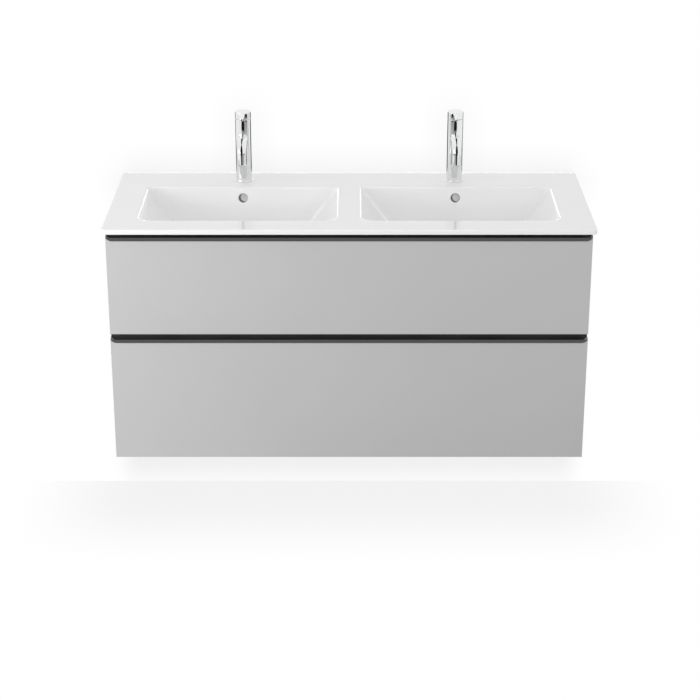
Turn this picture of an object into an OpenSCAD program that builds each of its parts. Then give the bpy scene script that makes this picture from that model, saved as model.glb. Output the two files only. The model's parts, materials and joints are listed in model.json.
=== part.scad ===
// Wall-hung vanity cabinet with two drawers, a double washbasin and two single-lever taps.
// X runs along the wall to the right, Y into the wall, Z up. The wall is the plane Y = 0,
// and the origin lies on it, at the middle of the four wall screws.

/* [Cabinet] */
// Width of the cabinet
cabinet_w = 1280; // [1180:10:1280]
// Height of the cabinet
cabinet_h = 650; // [640:5:700]
// Distance from the wall to the face of the drawer fronts
front_reach = 483; // [478:1:484]
// Thickness of the carcass boards
board_t = 16; // [15:1:19]
// Thickness of the drawer fronts
front_t = 19; // [19:1:22]
// Gap between the carcass and the closed fronts
front_gap = 2; // [1:0.5:4]

/* [Fronts and grips] */
// Height of the lower drawer front
lower_front_h = 342; // [320:1:345]
// Height of the visible lip of a grip
lip_h = 11; // [9:0.5:14]
// Open height between a grip's lip and the front above it
reach_gap = 14; // [12:0.5:20]
// Distance from the top of the upper lip to the top of the cabinet
upper_lip_drop = 6.5; // [5:0.5:9]
// How far the lip stands proud of the front at its top edge
lip_proud = 6; // [3:0.5:6]
// Radius of the lower corners at both ends of a grip
grip_end_r = 18; // [14:1:18]
// Height of the horns of the front beside a grip
horn_h = 13; // [11:0.5:13]
// Depth of the finger trough below the top of the front
trough_drop = 8; // [5:0.5:12]
// Wall thickness of the grip profile
grip_t = 2; // [1.5:0.1:2.5]

/* [Washbasin] */
// Width of the washbasin
basin_w = 1300; // [1300:5:1500]
// Depth of the washbasin
basin_d = 490; // [490:1:510]
// Height of the visible rim
rim_h = 14; // [12:1:20]
// Radius of the rim's corners in plan
rim_corner_r = 8; // [4:1:20]
// Width of each bowl at the top
bowl_w = 534; // [480:2:534]
// Distance from the wall to the back edge of the bowls
bowl_back = 133; // [130:1:150]
// Distance from the wall to the front edge of the bowls
bowl_front = 416; // [380:1:418]
// Width of the bridge between the bowls
bridge_w = 62; // [60:1:80]
// Depth of the bowls
bowl_depth = 112; // [90:1:115]
// Thickness of the ceramic round the bowls
ceramic_t = 12; // [10:0.5:12]
// Diameter of the overflow holes
overflow_d = 28; // [20:1:30]

/* [Taps] */
// Distance from the wall to the tap holes
tap_back = 71.5; // [65:0.5:75]
// Height of a tap above the washbasin
tap_h = 203; // [180:1:220]
// Diameter of the tap's body
tap_d = 44; // [44:1:46]
// Diameter of the ring at the tap's foot
tap_ring_d = 50; // [50:1:60]
// Distance from the tap's axis to the outlet
spout_reach = 87; // [70:1:110]
// Height of the spout's axis where it leaves the body
spout_h = 129; // [110:1:140]
// Outer diameter of the spout
spout_d = 28; // [24:1:30]
// Height of the spout's mouth above the washbasin
mouth_h = 72; // [60:1:90]
// Distance from the tap's axis to the lever's tip
lever_reach = 75; // [60:1:100]
// Width of the lever
lever_w = 14.5; // [12:0.5:18]
// Largest lift of the lever in degrees
lift_deg = 20; // [15:1:22]

/* [Drawers] */
// Thickness of the drawers' sides and backs
drawer_t = 13; // [12:1:16]
// Distance from the wall to the back of the upper drawer
upper_back = 60; // [50:1:80]
// Distance from the wall to the back of the lower drawer
lower_back = 24; // [22:1:40]
// Clear width of the slots round the traps
slot_w = 124; // [100:2:130]
// Distance from the wall to the closed end of the slots
slot_reach = 345; // [330:1:350]

/* [Wall fixing] */
// Height of the middle of the wall screws above the cabinet's underside
hang_h = 616; // [616:1:616]
// Distance between the left and the right wall screws
screw_span = 1186; // [1086:2:1186]
// Distance between the upper and the lower wall screws
screw_rise = 24; // [20:1:26]
// Diameter of the holes for the wall screws
screw_hole_d = 7; // [5:0.5:8]

/* [Hidden] */
$fn = 64;

LEFT = -1;
RIGHT = 1;

// Colours
lacquer = [0.76, 0.76, 0.75];
carcass = [0.72, 0.72, 0.71];
anodised = [0.16, 0.16, 0.17];
ceramic = [0.95, 0.95, 0.95];
chrome = [0.80, 0.81, 0.83];
steel = [0.62, 0.63, 0.65];
sealant = [0.90, 0.90, 0.89];
plastic = [0.35, 0.35, 0.36];

// Cut surfaces reach this far past the solids that they cut
over = 1;

// Cabinet
side_out = cabinet_w / 2;
side_in = side_out - board_t;
carcass_front = front_reach - front_t - front_gap;
front_back = front_reach - front_t;
front_rail_h = 60;
back_rail_upper_low = 510;
back_rail_upper_h = 70;
back_rail_lower_h = 80;

// Fronts
upper_front_low = lower_front_h + lip_h + reach_gap;
upper_front_top = cabinet_h - upper_lip_drop - lip_h;
grip_back_clear = 2;
lip_foot_proud = 2;
trough_front = 5;
trough_half = side_out - grip_end_r - 1;

// Washbasin
seal_t = 2;
basin_low = cabinet_h + seal_t;
basin_top = basin_low + rim_h;
bowl_x = bridge_w / 2 + bowl_w / 2;
bowl_mid = (bowl_back + bowl_front) / 2;
bowl_d = bowl_front - bowl_back;
side_lean = 0.8;
back_lean = 0.25;
front_lean = 0.3;
bowl_corner_r = 22;
floor_h = basin_top - bowl_depth;
waste_y = 265;
waste_hole_r = 23;
waste_seat_r = 33;
waste_seat_drop = 4;
overflow_drop = 30;
overflow_deep = 15;
overflow_boss_w = 60;
tap_hole_r = 17.5;

// Taps, measured up from the washbasin
tap_r = tap_d / 2;
cap_low = tap_h - 19.5;
body_top = cap_low - 0.5;
cartridge_r = 18;
cartridge_low = body_top - 33;
cartridge_gap = 0.05;
cartridge_lift = 0.3;
pivot_h = tap_h - 13;
pivot_r = 3;
pivot_gap = 0.05;
neck_w = 14;
neck_d = 12;
neck_foot = 2;
neck_over = 4.5;
cap_top_t = 6;
cap_wall_t = 4;
ear_x = neck_w / 2 + 1;
ear_w = 10.5;
ear_d = 10;
ear_drop = 5;
lever_t = 10;
elbow_r = 24;
aerator_r = 12;
aerator_deep = 8;
shank_r = 16.5;
shank_bore_r = 12;
shank_h = 62;
tap_nut_r = 26;
tap_nut_h = 9;

// Waste and trap, measured down from the bowl's floor
flange_r = 31.5;
flange_t = 3;
tube_r = 22;
tube_bore_r = 18;
tube_drop = 50;
plug_r = 28;
plug_t = 4.7;
plug_gap = 0.3;
stem_r = 4;
stem_gap = 0.05;
stem_drop = 40;
spider_drop = 38;
spider_h = 6;
waste_nut_r = 31;
waste_nut_h = 10;
ring_gap = 0.2;
pipe_r = 16;
slip_nut_r = 27;
slip_nut_h = 20;
bottle_r = 30;
bottle_low = 395;
bottle_top = 480;
trap_t = 2;
cup_ring_h = 18;
cap_ring_h = 12;
outlet_h = 455;
outlet_stub = 50;
stub_bead_r = 17.5;
stub_bead_w = 1.5;
wall_flange_r = 36;
wall_flange_w = 10;

// Drawers
runner_gap = 13;
drawer_out = side_in - runner_gap;
drawer_in = drawer_out - drawer_t;
upper_box_low = 380;
upper_box_top = 520;
lower_box_low = 36;
lower_box_top = 250;
bottom_t = 10;
bottom_rise = 8;
shroud_t = 8;
slot_half = slot_w / 2;

// Runners
runner_len = 400;
runner_front = 455;
runner_t = 1.2;
rail_half_h = 18;
slider_half_h = 15.5;
carriage_half_h = 12;
upper_runner_h = 432;
lower_runner_h = 90;

// Wall fixing
plate_t = 3;
plate_low = 588;
plate_top = 638;
hook_t = 3;
lip_out = 9;
hook_top = 649.5;
plate_inner = 25;
plate_outer = 20;
hook_gap = 0.4;
hanger_t = 6;
hanger_d = 42;
hanger_far = lip_out + 5;
hanger_screw_y = [hanger_far + 10, hanger_far + hanger_d - 10];
hanger_low = 596;
hanger_h = 40;
hanger_screw_r = 2.5;

// Moves a piece from heights above the cabinet's underside to heights above the wall screws
module hung() translate([0, 0, -hang_h]) children();

// Mirrors a piece drawn on the right to the left
module on_side(side) if (side == LEFT) mirror([1, 0, 0]) children(); else children();

// Box between two heights and two distances from the wall
module board(x0, x1, far, near, low, top)
    translate([x0, -far, low]) cube([x1 - x0, far - near, top - low]);

// Upright tube standing on z = low
module tube(r, bore_r, low, top)
    difference() {
        translate([0, 0, low]) cylinder(r = r, h = top - low);
        translate([0, 0, low - over]) cylinder(r = bore_r, h = top - low + 2 * over);
    }

// Cylinder along Y between two distances from the wall, negative behind the wall
module arm(r, far, near)
    translate([0, -near, 0]) rotate([90, 0, 0]) cylinder(r = r, h = far - near);

// Plan outline with round corners, centred on the origin
module round_outline(w, d, r) {
    square([w - 2 * r, d], center = true);
    square([w, d - 2 * r], center = true);
    for (x = [-1, 1], y = [-1, 1])
        translate([x * (w / 2 - r), y * (d / 2 - r)]) circle(r = r);
}

// ---- Cabinet ----

module side_panel(side)
    color(carcass) hung() on_side(side) board(side_in, side_out, carcass_front, 0, 0, cabinet_h);

module bottom_panel()
    color(carcass) hung() board(-side_in, side_in, carcass_front, 0, 0, board_t);

module back_rail(low, h)
    color(carcass) hung() board(-side_in, side_in, board_t, 0, low, low + h);

module front_rail()
    color(carcass) hung()
    board(-side_in, side_in, carcass_front, carcass_front - board_t, cabinet_h - front_rail_h, cabinet_h);

// Steel plate on the wall, with an upturned lip for the hanger's hook
module wall_plate(side) {
    x0 = screw_span / 2 - plate_inner;
    x1 = screw_span / 2 + plate_outer;
    color(steel) hung() on_side(side)
    difference() {
        union() {
            board(x0, x1, plate_t, 0, plate_low, plate_top);
            board(x0, x1, lip_out, 0, plate_top - plate_t, plate_top);
            board(x0, x1, lip_out, lip_out - plate_t, plate_top - plate_t, hook_top - hook_t - hook_gap);
        }
        for (rise = [-1, 1])
            translate([screw_span / 2, 0, hang_h + rise * screw_rise / 2])
            rotate([90, 0, 0]) cylinder(d = screw_hole_d, h = 3 * plate_t, center = true);
    }
}

// Bracket screwed to the side panel, whose hook drops behind the wall plate's lip
module hanger(side) {
    x0 = screw_span / 2 - plate_inner + 6;
    x1 = screw_span / 2 + plate_outer - 7;
    tongue_near = hook_t - 0.5;
    color(steel) hung() on_side(side) {
        difference() {
            board(side_in - hanger_t, side_in, hanger_far + hanger_d, hanger_far - hook_t,
                hanger_low, hanger_low + hanger_h);
            for (y = hanger_screw_y)
                translate([side_in - hanger_t - over, -y, hanger_low + hanger_h / 2])
                rotate([0, 90, 0]) cylinder(r = hanger_screw_r + ring_gap, h = hanger_t + 2 * over);
        }
        board(x0, side_in, hanger_far, hanger_far - hook_t, hanger_low + hanger_h, hook_top);
        board(x0, x1, hanger_far - hook_t, tongue_near, hook_top - hook_t, hook_top);
        board(x0, x1, 2 * hook_t - 0.5, tongue_near, plate_top + 1, hook_top - hook_t);
    }
}

// Four pan-head screws that hold the hangers to the side panels
module hanger_screws() {
    head_x = side_in - hanger_t;
    head_h = 2.5;
    color(steel) hung()
    for (side = [LEFT, RIGHT], y = hanger_screw_y)
        on_side(side) translate([head_x, -y, hanger_low + hanger_h / 2]) rotate([0, 90, 0]) {
            cylinder(r = hanger_screw_r, h = hanger_t);
            translate([0, 0, -head_h]) cylinder(r = 2 * hanger_screw_r, h = head_h);
        }
}

// ---- Washbasin ----

// Bead of sealant between the cabinet and the washbasin
module basin_seal()
    color(sealant) hung() {
        for (side = [LEFT, RIGHT])
            on_side(side) board(side_in, side_out, carcass_front, 0, cabinet_h, basin_low);
        board(-side_in, side_in, carcass_front, carcass_front - board_t, cabinet_h, basin_low);
    }

// Bowl shape hanging from the rim, its walls moved out by grow and its floor down by grow
module bowl_shape(grow, rise) {
    drop = bowl_depth + grow;
    side_top = bowl_w / 2 + grow * sqrt(1 + pow(side_lean, 2));
    back_top = bowl_back - grow * sqrt(1 + pow(back_lean, 2));
    front_top = bowl_front + grow * sqrt(1 + pow(front_lean, 2));
    intersection() {
        rotate([90, 0, 0]) linear_extrude(2 * basin_d, center = true)
        polygon([[-side_top - rise * side_lean, rise], [side_top + rise * side_lean, rise],
            [side_top - drop * side_lean, -drop], [-side_top + drop * side_lean, -drop]]);
        rotate([90, 0, 90]) linear_extrude(basin_w, center = true)
        polygon([[-back_top + rise * back_lean, rise], [-back_top - drop * back_lean, -drop],
            [-front_top + drop * front_lean, -drop], [-front_top - rise * front_lean, rise]]);
    }
}

module washbasin()
    color(ceramic) hung() {
        difference() {
            union() {
                translate([0, -basin_d / 2, basin_low]) linear_extrude(rim_h)
                round_outline(basin_w, basin_d, rim_corner_r);
                for (x = [-bowl_x, bowl_x]) translate([x, 0, 0]) {
                    translate([0, 0, basin_top]) bowl_shape(ceramic_t, -over);
                    board(-overflow_boss_w / 2, overflow_boss_w / 2, bowl_back + 15, bowl_back - 22,
                        floor_h, basin_low + over);
                }
            }
            for (x = [-bowl_x, bowl_x]) translate([x, 0, 0]) {
                intersection() {
                    translate([0, 0, basin_top]) bowl_shape(0, over);
                    translate([0, -bowl_mid, floor_h - over]) linear_extrude(bowl_depth + 3 * over)
                    round_outline(bowl_w + 2 * over, bowl_d + 2 * over, bowl_corner_r);
                }
                translate([0, -waste_y, floor_h - waste_seat_drop])
                cylinder(r = waste_seat_r, h = 2 * waste_seat_drop);
                translate([0, -waste_y, floor_h - 2 * ceramic_t])
                cylinder(r = waste_hole_r, h = 3 * ceramic_t);
                translate([0, 0, basin_top - overflow_drop])
                arm(overflow_d / 2, bowl_back + 40, bowl_back + overflow_drop * back_lean - overflow_deep);
                translate([0, -tap_back, basin_low - over]) cylinder(r = tap_hole_r, h = rim_h + 2 * over);
            }
        }
    }

// ---- Fronts and grips ----

// Front view of a grip: round lower corners at both ends, measured up from the top of the front
module grip_outline(top) {
    translate([-side_out + grip_end_r, 0]) square([cabinet_w - 2 * grip_end_r, top]);
    if (top > grip_end_r) translate([-side_out, grip_end_r]) square([cabinet_w, top - grip_end_r]);
    for (side = [-1, 1]) translate([side * (side_out - grip_end_r), grip_end_r])
        intersection() {
            circle(r = grip_end_r);
            translate([-grip_end_r, -grip_end_r]) square([2 * grip_end_r, top]);
        }
}

// Drawer front, from its lower edge to its horns, cut away for the grip
module front_panel(low, top)
    color(lacquer) hung()
    difference() {
        board(-side_out, side_out, front_reach, front_back, low, top + horn_h);
        translate([0, -front_back + over, top]) rotate([90, 0, 0])
        linear_extrude(front_t + 2 * over) grip_outline(horn_h + 2 * grip_end_r);
        board(-side_out + grip_end_r, side_out - grip_end_r, front_reach - trough_front,
            front_back - over, top - trough_drop, top + over);
    }

// Grip profile: lip, shelf, finger trough and back wall, on a front whose top is at the height top
module grip(top, back_top) {
    lean = lip_proud - lip_foot_proud;
    wall_h = back_top - top;
    inner = trough_front + grip_t;
    color(anodised) hung() translate([0, -front_reach, top]) {
        // Lip, shelf and back wall follow the round ends
        intersection() {
            rotate([90, 0, 90]) linear_extrude(cabinet_w, center = true) {
                polygon([[-lip_foot_proud, 0], [-lip_foot_proud - lean, lip_h],
                    [-lip_foot_proud - lean + grip_t, lip_h],
                    [-lip_foot_proud + grip_t - lean * grip_t / lip_h, grip_t],
                    [inner, grip_t], [inner, 0]]);
                translate([front_t - grip_t, 0]) square([grip_t, wall_h]);
            }
            translate([0, front_t + over, 0]) rotate([90, 0, 0])
            linear_extrude(front_t + 2 * lip_proud + over) grip_outline(wall_h + grip_end_r);
        }
        // The trough is set into the top edge of the front
        difference() {
            translate([-trough_half, trough_front, -trough_drop])
            cube([2 * trough_half, front_t - trough_front, trough_drop + grip_t]);
            translate([-side_out, inner, -trough_drop + grip_t])
            cube([cabinet_w, front_t - grip_t - inner, trough_drop + 2 * grip_t]);
        }
    }
}

// ---- Drawers ----

module drawer_side(side, low, top, back)
    color(carcass) hung() on_side(side) board(drawer_in, drawer_out, front_back, back, low, top);

module drawer_back(x0, x1, low, top, back)
    color(carcass) hung() board(x0, x1, back + drawer_t, back, low + bottom_rise + bottom_t, top);

module upper_bottom()
    color(carcass) hung()
    difference() {
        board(-drawer_in, drawer_in, front_back, upper_back,
            upper_box_low + bottom_rise, upper_box_low + bottom_rise + bottom_t);
        for (x = [-bowl_x, bowl_x])
            board(x - slot_half, x + slot_half, slot_reach, upper_back - over,
                upper_box_low, upper_box_low + 3 * bottom_t);
    }

module lower_bottom()
    color(carcass) hung()
    board(-drawer_in, drawer_in, front_back, lower_back,
        lower_box_low + bottom_rise, lower_box_low + bottom_rise + bottom_t);

// Three-sided screen round the slot that the trap stands in
module trap_shroud(side) {
    low = upper_box_low + bottom_rise + bottom_t;
    color(carcass) hung() on_side(side)
    difference() {
        board(bowl_x - slot_half - shroud_t, bowl_x + slot_half + shroud_t,
            slot_reach + shroud_t, upper_back, low, upper_box_top);
        board(bowl_x - slot_half, bowl_x + slot_half, slot_reach, upper_back - over,
            low - over, upper_box_top + over);
    }
}

// ---- Runners ----

// Channel of a runner, open towards the other member, given by its web and its flanges' reach
module runner_channel(web_x, flange_x0, flange_x1, half_h, far, near) {
    board(web_x, web_x + runner_t, far, near, -half_h, half_h);
    for (z = [-half_h, half_h - runner_t])
        board(flange_x0, flange_x1, far, near, z, z + runner_t);
}

module runner_rails(height)
    color(steel) hung() for (side = [LEFT, RIGHT]) on_side(side) translate([0, 0, height])
        runner_channel(side_in - runner_t, side_in - 9, side_in, rail_half_h,
            runner_front, runner_front - runner_len);

module runner_sliders(height)
    color(steel) hung() for (side = [LEFT, RIGHT]) on_side(side) translate([0, 0, height])
        runner_channel(side_in - 6.2, side_in - 9, side_in - 2, slider_half_h,
            runner_front, runner_front - runner_len);

module runner_carriages(height)
    color(steel) hung() for (side = [LEFT, RIGHT]) on_side(side) translate([0, 0, height])
        runner_channel(drawer_out, drawer_out, drawer_out + 6, carriage_half_h,
            runner_front, runner_front - runner_len);

// ---- Taps ----

// Places a piece drawn round a tap's axis, with z = 0 on the washbasin
module at_tap(side) hung() translate([side * bowl_x, -tap_back, basin_top]) children();

module tap_body(side)
    color(chrome) at_tap(side)
    difference() {
        union() {
            cylinder(r = tap_r, h = body_top);
            translate([0, 0, spout_h]) arm(spout_d / 2, spout_reach - elbow_r, 0);
            translate([0, -spout_reach + elbow_r, spout_h - elbow_r]) rotate([90, 0, 90])
            rotate([0, 0, 90]) rotate_extrude(angle = 90) translate([elbow_r, 0]) circle(d = spout_d);
            translate([0, -spout_reach, mouth_h]) cylinder(d = spout_d, h = spout_h - elbow_r - mouth_h);
        }
        translate([0, 0, cartridge_low]) cylinder(r = cartridge_r, h = tap_h);
        translate([0, -spout_reach, mouth_h - over]) cylinder(r = aerator_r, h = aerator_deep + over);
    }

module tap_ring(side)
    color(chrome) at_tap(side) tube(tap_ring_d / 2, tap_r + 0.05, 0, 4);

module tap_aerator(side)
    color(plastic) at_tap(side) translate([0, -spout_reach, mouth_h - 1])
    cylinder(r = aerator_r, h = aerator_deep + 1);

// Cartridge that turns in the body, with a neck and a cross pin that carry the lever
module tap_cartridge(side)
    color(steel) at_tap(side) {
        translate([0, 0, cartridge_low + cartridge_lift])
        cylinder(r = cartridge_r - cartridge_gap, h = body_top - neck_foot - cartridge_low - cartridge_lift);
        translate([-neck_w / 2, -neck_d / 2, body_top - 2 * neck_foot])
        cube([neck_w, neck_d, pivot_h + neck_over - body_top + 2 * neck_foot]);
        translate([0, 0, pivot_h]) rotate([0, 90, 0])
        cylinder(r = pivot_r, h = tap_d - 2 * cap_wall_t - 2, center = true);
    }

// Cap and lever in one piece, tilting on the cartridge's cross pin
module tap_lever(side)
    color(chrome) at_tap(side)
    difference() {
        union() {
            difference() {
                translate([0, 0, cap_low]) cylinder(r = tap_r, h = tap_h - cap_low);
                translate([0, 0, cap_low - over])
                cylinder(r = tap_r - cap_wall_t, h = tap_h - cap_top_t - cap_low + over);
            }
            for (x = [-ear_x - ear_w, ear_x]) translate([x, -ear_d / 2, pivot_h - ear_drop])
                cube([ear_w, ear_d, tap_h - cap_top_t / 2 - pivot_h + ear_drop]);
            translate([-lever_w / 2, -lever_reach, tap_h - 1 - lever_t])
            cube([lever_w, lever_reach - tap_r + 3, lever_t]);
        }
        translate([0, 0, pivot_h]) rotate([0, 90, 0])
        cylinder(r = pivot_r + pivot_gap, h = tap_d - 2 * cap_wall_t, center = true);
        // Room behind the pin, so that the back of the cap can tip down
        translate([-tap_d, 0, cap_low - over]) rotate([lift_deg + 1, 0, 0])
        translate([0, -over, -tap_r]) cube([2 * tap_d, 2 * tap_d, tap_r + over]);
    }

module tap_shank(side)
    color(steel) at_tap(side) tube(shank_r, shank_bore_r, -shank_h, 0);

module tap_nut(side)
    color(steel) at_tap(side)
    difference() {
        translate([0, 0, -rim_h - tap_nut_h]) cylinder(r = tap_nut_r, h = tap_nut_h, $fn = 6);
        translate([0, 0, -rim_h - tap_nut_h - over])
        cylinder(r = shank_r + ring_gap, h = tap_nut_h + 2 * over);
    }

// ---- Waste and trap ----

// Places a piece drawn round a waste's axis, with z = 0 on the bowl's floor
module at_waste(side) hung() translate([side * bowl_x, -waste_y, floor_h]) children();

module waste_body(side)
    color(chrome) at_waste(side) {
        tube(flange_r, tube_bore_r, -waste_seat_drop, -waste_seat_drop + flange_t);
        tube(tube_r, tube_bore_r, -tube_drop, -waste_seat_drop);
        difference() {
            translate([-tube_bore_r - over, -stem_r - 3, -spider_drop])
            cube([2 * tube_bore_r + 2 * over, 2 * stem_r + 6, spider_h]);
            translate([0, 0, -spider_drop - over]) cylinder(r = stem_r + stem_gap, h = spider_h + 2 * over);
        }
    }

module waste_plug(side)
    color(chrome) at_waste(side) {
        rest = -waste_seat_drop + flange_t + plug_gap;
        translate([0, 0, rest]) cylinder(r = plug_r, h = plug_t);
        translate([0, 0, -stem_drop]) cylinder(r = stem_r, h = stem_drop + rest);
    }

module waste_nut(side)
    color(plastic) at_waste(side)
    difference() {
        translate([0, 0, -ceramic_t - waste_nut_h]) cylinder(r = waste_nut_r, h = waste_nut_h, $fn = 6);
        translate([0, 0, -ceramic_t - waste_nut_h - over])
        cylinder(r = tube_r + ring_gap, h = waste_nut_h + 2 * over);
    }

// Bottle trap: slip nut, inlet pipe, hollow bottle, outlet arm and the spigot that enters the wall
module trap(side) {
    tail = floor_h - tube_drop;
    bottle_y = waste_y - bottle_r;
    color(chrome) hung() translate([side * bowl_x, 0, 0])
    difference() {
        union() {
            translate([0, -waste_y, 0]) {
                translate([0, 0, tail - slip_nut_h / 2]) cylinder(r = slip_nut_r, h = slip_nut_h);
                translate([0, 0, bottle_top - over])
                cylinder(r = pipe_r, h = tail - slip_nut_h / 2 - bottle_top + 2 * over);
                translate([0, 0, bottle_low]) cylinder(r = bottle_r, h = bottle_top - bottle_low);
                translate([0, 0, bottle_low]) cylinder(r = bottle_r + 3, h = cup_ring_h);
                translate([0, 0, bottle_top - cap_ring_h]) cylinder(r = bottle_r + 2, h = cap_ring_h);
            }
            translate([0, 0, outlet_h]) {
                arm(pipe_r, waste_y, -outlet_stub);
                arm(slip_nut_r - 3, bottle_y + 6, bottle_y - slip_nut_h);
                arm(stub_bead_r, stub_bead_w, 0);
            }
        }
        translate([0, -waste_y, 0]) {
            translate([0, 0, tail]) cylinder(r = tube_r + ring_gap, h = slip_nut_h);
            translate([0, 0, bottle_top - 2 * trap_t]) cylinder(r = pipe_r - trap_t, h = tail);
            translate([0, 0, bottle_low + trap_t])
            cylinder(r = bottle_r - trap_t, h = bottle_top - bottle_low - 2 * trap_t);
        }
        translate([0, 0, outlet_h]) arm(pipe_r - trap_t, waste_y, -outlet_stub - over);
    }
}

// Cover plate where the outlet arm meets the wall
module wall_flange(side)
    color(chrome) hung() translate([side * bowl_x, 0, outlet_h])
    difference() {
        union() {
            arm(wall_flange_r, 4, 0);
            arm(wall_flange_r - 12, wall_flange_w, 0);
        }
        arm(stub_bead_r + ring_gap, wall_flange_w + over, -over);
    }

side_panel(LEFT);  // side_panel_left
side_panel(RIGHT);  // side_panel_right
bottom_panel();
back_rail(back_rail_upper_low, back_rail_upper_h);  // back_rail_upper
back_rail(board_t, back_rail_lower_h);  // back_rail_lower
front_rail();
hanger(LEFT);  // hanger_left
hanger(RIGHT);  // hanger_right
hanger_screws();
wall_plate(LEFT);  // wall_plate_left
wall_plate(RIGHT);  // wall_plate_right
basin_seal();
washbasin();
front_panel(upper_front_low, upper_front_top);  // upper_front
grip(upper_front_top, cabinet_h);  // upper_grip
drawer_side(LEFT, upper_box_low, upper_box_top, upper_back);  // upper_side_left
drawer_side(RIGHT, upper_box_low, upper_box_top, upper_back);  // upper_side_right
upper_bottom();
drawer_back(-drawer_in, -bowl_x - slot_half - shroud_t, upper_box_low, upper_box_top, upper_back);  // upper_back_left
drawer_back(-bowl_x + slot_half + shroud_t, bowl_x - slot_half - shroud_t,  // upper_back_centre
        upper_box_low, upper_box_top, upper_back);
drawer_back(bowl_x + slot_half + shroud_t, drawer_in, upper_box_low, upper_box_top, upper_back);  // upper_back_right
trap_shroud(LEFT);  // trap_shroud_left
trap_shroud(RIGHT);  // trap_shroud_right
front_panel(0, lower_front_h);  // lower_front
grip(lower_front_h, upper_front_low - grip_back_clear);  // lower_grip
drawer_side(LEFT, lower_box_low, lower_box_top, lower_back);  // lower_side_left
drawer_side(RIGHT, lower_box_low, lower_box_top, lower_back);  // lower_side_right
lower_bottom();
drawer_back(-drawer_in, drawer_in, lower_box_low, lower_box_top, lower_back);
runner_rails(upper_runner_h);  // upper_runner_rails
runner_sliders(upper_runner_h);  // upper_runner_sliders
runner_carriages(upper_runner_h);  // upper_runner_carriages
runner_rails(lower_runner_h);  // lower_runner_rails
runner_sliders(lower_runner_h);  // lower_runner_sliders
runner_carriages(lower_runner_h);  // lower_runner_carriages
tap_body(LEFT);  // tap_body_left
tap_body(RIGHT);  // tap_body_right
tap_ring(LEFT);  // tap_ring_left
tap_ring(RIGHT);  // tap_ring_right
tap_aerator(LEFT);  // tap_aerator_left
tap_aerator(RIGHT);  // tap_aerator_right
tap_cartridge(LEFT);  // tap_cartridge_left
tap_cartridge(RIGHT);  // tap_cartridge_right
tap_lever(LEFT);  // tap_lever_left
tap_lever(RIGHT);  // tap_lever_right
tap_shank(LEFT);  // tap_shank_left
tap_shank(RIGHT);  // tap_shank_right
tap_nut(LEFT);  // tap_nut_left
tap_nut(RIGHT);  // tap_nut_right
waste_body(LEFT);  // waste_body_left
waste_body(RIGHT);  // waste_body_right
waste_plug(LEFT);  // waste_plug_left
waste_plug(RIGHT);  // waste_plug_right
waste_nut(LEFT);  // waste_nut_left
waste_nut(RIGHT);  // waste_nut_right
trap(LEFT);  // trap_left
trap(RIGHT);  // trap_right
wall_flange(LEFT);  // wall_flange_left
wall_flange(RIGHT);  // wall_flange_right
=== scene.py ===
"""Looks of the wall-hung double vanity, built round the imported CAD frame. Metres, in the row frame."""

import json
import math

import bmesh
import bpy
import numpy as np
from mathutils import Matrix, Vector


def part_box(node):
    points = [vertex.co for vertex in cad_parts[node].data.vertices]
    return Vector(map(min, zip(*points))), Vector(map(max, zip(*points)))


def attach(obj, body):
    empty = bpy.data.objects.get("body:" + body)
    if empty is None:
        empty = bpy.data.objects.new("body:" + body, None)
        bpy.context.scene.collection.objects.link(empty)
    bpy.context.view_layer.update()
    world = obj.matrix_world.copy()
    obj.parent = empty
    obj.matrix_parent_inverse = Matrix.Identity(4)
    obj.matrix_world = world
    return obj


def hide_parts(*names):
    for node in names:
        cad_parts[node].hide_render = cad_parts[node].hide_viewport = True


MM = 0.001
SIDES = ("left", "right")
WHITE = (1.0, 1.0, 1.0, 1.0)

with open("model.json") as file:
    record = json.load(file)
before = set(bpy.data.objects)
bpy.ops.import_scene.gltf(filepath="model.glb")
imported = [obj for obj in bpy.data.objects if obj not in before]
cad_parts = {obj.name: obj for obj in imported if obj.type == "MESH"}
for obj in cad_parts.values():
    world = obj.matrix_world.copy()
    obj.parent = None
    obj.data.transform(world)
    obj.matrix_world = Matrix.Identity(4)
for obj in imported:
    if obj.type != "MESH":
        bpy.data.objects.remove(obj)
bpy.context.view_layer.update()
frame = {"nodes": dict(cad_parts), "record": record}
scene = bpy.context.scene
nodes = frame["nodes"]


def middle(node):
    """Centre of a CAD node's box."""
    low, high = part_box(node)
    return (low + high) / 2


basin_low, basin_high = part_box("washbasin")
deck_z = basin_high.z
rim_h = deck_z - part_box("basin_seal")[1].z
tap_axis = middle("tap_ring_right")
tap_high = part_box("tap_lever_right")[1].z - deck_z
waste_axis = middle("waste_plug_right")
bowl_x = waste_axis.x

# ---- Camera ----

camera_data = bpy.data.cameras.new("camera")
camera = bpy.data.objects.new("camera", camera_data)
scene.collection.objects.link(camera)
scene.camera = camera
camera.location = (0.0023, -4.7310, 1.5727)
camera.rotation_euler = (math.radians(90 - 20.25), 0.0, 0.0)
camera_data.sensor_width = 36.0
camera_data.lens = 88.66
camera_data.shift_y = -0.15
camera_data.clip_end = 60.0

# ---- Materials ----


def node_tree(name):
    """A new material with an empty node tree, and its output node."""
    made = bpy.data.materials.new(name)
    made.use_nodes = True
    made.node_tree.nodes.clear()
    return made, made.node_tree, made.node_tree.nodes.new("ShaderNodeOutputMaterial")


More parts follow.
